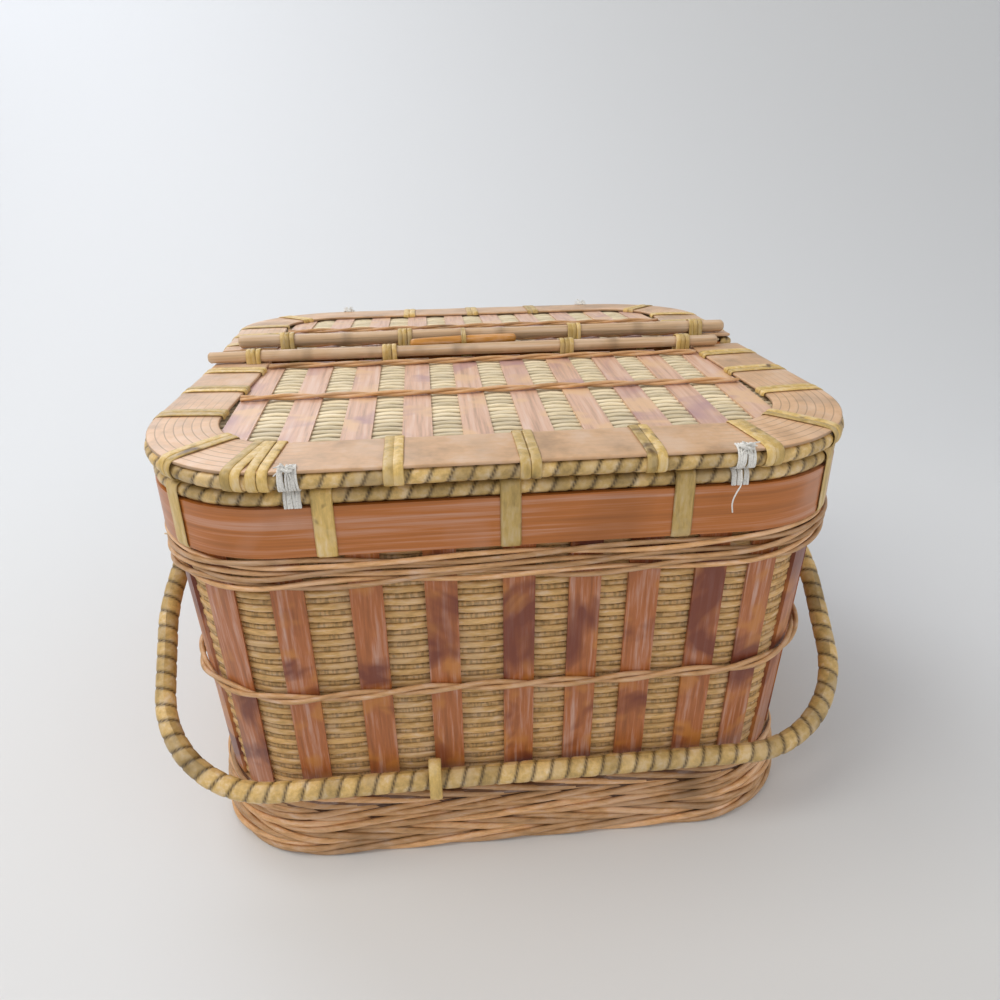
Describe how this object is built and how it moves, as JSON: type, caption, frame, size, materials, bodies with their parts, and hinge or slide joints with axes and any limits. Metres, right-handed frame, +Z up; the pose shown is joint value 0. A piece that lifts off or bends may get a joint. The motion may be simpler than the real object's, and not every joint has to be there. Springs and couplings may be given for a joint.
{
  "type": "lidded basket",
  "caption": "Woven bamboo picnic basket with two hinged lid flaps, a toggle peg between them and two swinging wrapped handles, one with a keeper ring.",
  "frame": {"origin": "on the floor under the middle of the basket", "axes": "+Z up, -Y to the front where the pictured handle hangs, +X to the right seen from the front"},
  "size_m": [0.389, 0.3515, 0.2459],
  "materials": {
    "stained_bamboo_slat": "mottled red-brown stained bamboo, satin",
    "fine_weave": "fine split-bamboo weft, straw tan, satin",
    "twined_cane": "twined cane strands, pinkish brown, satin",
    "split_bamboo_band": "split bamboo band, orange tan, glossy skin",
    "round_cane": "round rattan cane, matt",
    "rattan_wrapping": "flat rattan wrapping strip, straw, glossy",
    "rattan_tie": "flat rattan lashing, yellow straw, satin",
    "pale_stick": "peeled round stick, pale tan, satin",
    "bamboo_peg": "turned bamboo peg, orange yellow, satin",
    "rattan_pin": "rattan pin and knot, brown, matt",
    "cotton_string": "loose white cotton string, matt"
  },
  "bodies": {
    "basket": {"base_panel": "fine_weave", "foot_border": "twined_cane", "front_handle_pins": "rattan_pin", "inner_stakes": "fine_weave", "mid_twine": "twined_cane", "rear_handle_pins": "rattan_pin", "rim_cane": "round_cane", "rim_hinge_strings": "cotton_string", "rim_hoop_inner": "split_bamboo_band", "rim_hoop_outer": "split_bamboo_band", "rim_ties": "rattan_tie", "rim_wrap": "rattan_wrapping", "upper_twine": "twined_cane", "wall_slats": "stained_bamboo_slat", "wall_weave": "fine_weave"},
    "front_lid": {"front_lid_weave": "fine_weave", "front_lid_splints": "stained_bamboo_slat", "front_lid_frame": "split_bamboo_band", "front_lid_under_frame": "split_bamboo_band", "front_lid_cane": "round_cane", "front_lid_wrap": "rattan_wrapping", "front_lid_twines": "twined_cane", "front_lid_hinge_strings": "cotton_string", "front_lid_ties": "rattan_tie", "front_stick": "pale_stick", "front_stick_ties": "rattan_tie"},
    "rear_lid": {"rear_lid_weave": "fine_weave", "rear_lid_splints": "stained_bamboo_slat", "rear_lid_frame": "split_bamboo_band", "rear_lid_under_frame": "split_bamboo_band", "rear_lid_cane": "round_cane", "rear_lid_wrap": "rattan_wrapping", "rear_lid_twines": "twined_cane", "rear_lid_hinge_strings": "cotton_string", "rear_lid_ties": "rattan_tie", "rear_stick": "pale_stick", "rear_stick_ties": "rattan_tie", "peg_loop": "cotton_string"},
    "front_handle": {"front_handle_core": "round_cane", "front_handle_wrap": "rattan_wrapping"},
    "rear_handle": {"rear_handle_core": "round_cane", "rear_handle_wrap": "rattan_wrapping"},
    "keeper_ring": {"keeper_ring": "rattan_tie"},
    "toggle_peg": {"toggle_peg": "bamboo_peg"}
  },
  "joints": [
    {"name": "front_lid_hinge", "type": "hinge", "parent": "basket", "child": "front_lid", "pos_m": [0, -0.1756, 0.2178], "axis": [1, 0, 0], "range_deg": [0, 172]},
    {"name": "rear_lid_hinge", "type": "hinge", "parent": "basket", "child": "rear_lid", "pos_m": [0, 0.1756, 0.2178], "axis": [-1, 0, 0], "range_deg": [0, 170]},
    {"name": "front_handle_swing", "type": "hinge", "parent": "basket", "child": "front_handle", "pos_m": [0, -0.012, 0.158], "axis": [-1, 0, 0], "range_deg": [0, 125.5]},
    {"name": "rear_handle_swing", "type": "hinge", "parent": "basket", "child": "rear_handle", "pos_m": [0, 0.012, 0.158], "axis": [1, 0, 0], "range_deg": [0, 125.5]},
    {"name": "keeper_ring_slide", "type": "slide", "parent": "front_handle", "child": "keeper_ring", "axis": [1, 0, 0], "range_m": [-0.06, 0.146]},
    {"name": "toggle_peg_slide", "type": "slide", "parent": "rear_lid", "child": "toggle_peg", "axis": [0.9954, 0.0958, 0], "range_m": [0, 0.028]}
  ]
}
